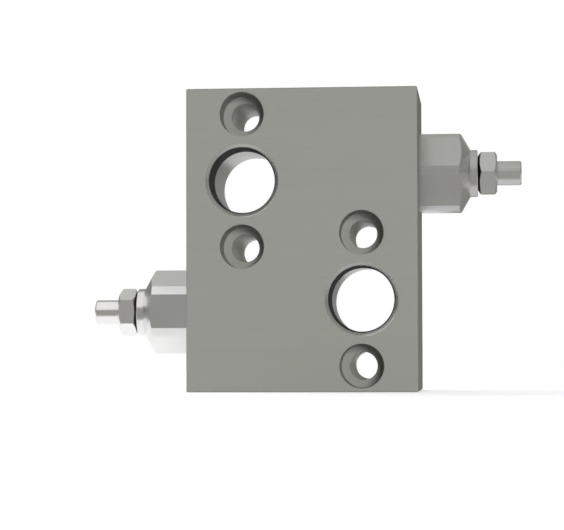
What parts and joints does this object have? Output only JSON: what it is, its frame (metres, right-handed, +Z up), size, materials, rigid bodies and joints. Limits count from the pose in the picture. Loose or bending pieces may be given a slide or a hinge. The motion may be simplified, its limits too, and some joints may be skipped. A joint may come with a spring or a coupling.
{
  "type": "relief valve",
  "caption": "Drilled manifold block with threaded through ports, counterbored bolt holes and adjustable screw-in relief cartridges on opposite sides.",
  "frame": {"origin": "centre of the manifold block, which is the centre of the whole part", "axes": "+X along the upper cartridge, pointing out of the block; +Y through the ports from the pipe side to the motor face; +Z up"},
  "size_m": [0.1784, 0.062, 0.1234],
  "materials": {
    "block_steel": "matt grey, finely ground",
    "cartridge_zinc": "zinc plated, satin",
    "nut_zinc": "zinc plated, satin",
    "screw_zinc": "zinc plated, satin",
    "plug_steel": "zinc plated, satin",
    "hardened_steel": "ground and oiled",
    "spring_steel": "shot peened, oiled",
    "seal_rubber": "matt black",
    "ring_plastic": "milky white"
  },
  "bodies": {
    "root": {"manifold_block": "block_steel", "left_port_seal": "seal_rubber", "right_port_seal": "seal_rubber", "upper_drilling_plug": "plug_steel", "lower_drilling_plug": "plug_steel", "right_cartridge_body": "cartridge_zinc", "right_seat_sleeve": "hardened_steel", "right_shoulder_seal": "seal_rubber", "right_nose_seal": "seal_rubber", "right_backup_ring": "ring_plastic", "left_cartridge_body": "cartridge_zinc", "left_seat_sleeve": "hardened_steel", "left_shoulder_seal": "seal_rubber", "left_nose_seal": "seal_rubber", "left_backup_ring": "ring_plastic"},
    "right_poppet_body": {"right_poppet": "hardened_steel", "right_spring": "spring_steel"},
    "right_plunger_body": {"right_plunger": "hardened_steel", "right_plunger_seal": "seal_rubber"},
    "right_screw_body": {"right_adjusting_screw": "screw_zinc"},
    "right_nut_seal_body": {"right_nut_seal": "seal_rubber"},
    "right_nut_body": {"right_lock_nut": "nut_zinc"},
    "left_poppet_body": {"left_poppet": "hardened_steel", "left_spring": "spring_steel"},
    "left_plunger_body": {"left_plunger": "hardened_steel", "left_plunger_seal": "seal_rubber"},
    "left_screw_body": {"left_adjusting_screw": "screw_zinc"},
    "left_nut_seal_body": {"left_nut_seal": "seal_rubber"},
    "left_nut_body": {"left_lock_nut": "nut_zinc"}
  },
  "joints": [
    {"name": "right_poppet_lift", "type": "slide", "parent": "root", "child": "right_poppet_body", "axis": [1, 0, 0], "range_m": [0, 0.002], "stiffness_N_per_m": 2000, "springref_m": -0.0002, "deforming": ["right_spring"]},
    {"name": "right_plunger_travel", "type": "slide", "parent": "root", "child": "right_plunger_body", "axis": [1, 0, 0], "range_m": [-0.002, 0.003], "deforming": ["right_spring"]},
    {"name": "right_screw_turn", "type": "hinge", "parent": "right_plunger_body", "child": "right_screw_body", "pos_m": [0.047, 0, 0.02855], "axis": [1, 0, 0], "range_deg": [-721, 1081]},
    {"name": "right_nut_travel", "type": "slide", "parent": "root", "child": "right_nut_seal_body", "axis": [1, 0, 0], "range_m": [0, 0.002]},
    {"name": "right_nut_turn", "type": "hinge", "parent": "right_nut_seal_body", "child": "right_nut_body", "pos_m": [0.047, 0, 0.02855], "axis": [1, 0, 0], "range_deg": [-1, 721]},
    {"name": "left_poppet_lift", "type": "slide", "parent": "root", "child": "left_poppet_body", "axis": [-1, 0, 0], "range_m": [0, 0.002], "stiffness_N_per_m": 2000, "springref_m": -0.0002, "deforming": ["left_spring"]},
    {"name": "left_plunger_travel", "type": "slide", "parent": "root", "child": "left_plunger_body", "axis": [-1, 0, 0], "range_m": [-0.002, 0.003], "deforming": ["left_spring"]},
    {"name": "left_screw_turn", "type": "hinge", "parent": "left_plunger_body", "child": "left_screw_body", "pos_m": [-0.047, 0, -0.02855], "axis": [-1, 0, 0], "range_deg": [-721, 1081]},
    {"name": "left_nut_travel", "type": "slide", "parent": "root", "child": "left_nut_seal_body", "axis": [-1, 0, 0], "range_m": [0, 0.002]},
    {"name": "left_nut_turn", "type": "hinge", "parent": "left_nut_seal_body", "child": "left_nut_body", "pos_m": [-0.047, 0, -0.02855], "axis": [-1, 0, 0], "range_deg": [-1, 721]}
  ],
  "couplings": [
    {"joint": "right_screw_turn", "follows": "right_plunger_travel", "rad_per_m": 6283.2},
    {"joint": "right_nut_turn", "follows": "right_nut_travel", "rad_per_m": 6283.2},
    {"joint": "left_screw_turn", "follows": "left_plunger_travel", "rad_per_m": 6283.2},
    {"joint": "left_nut_turn", "follows": "left_nut_travel", "rad_per_m": 6283.2}
  ]
}
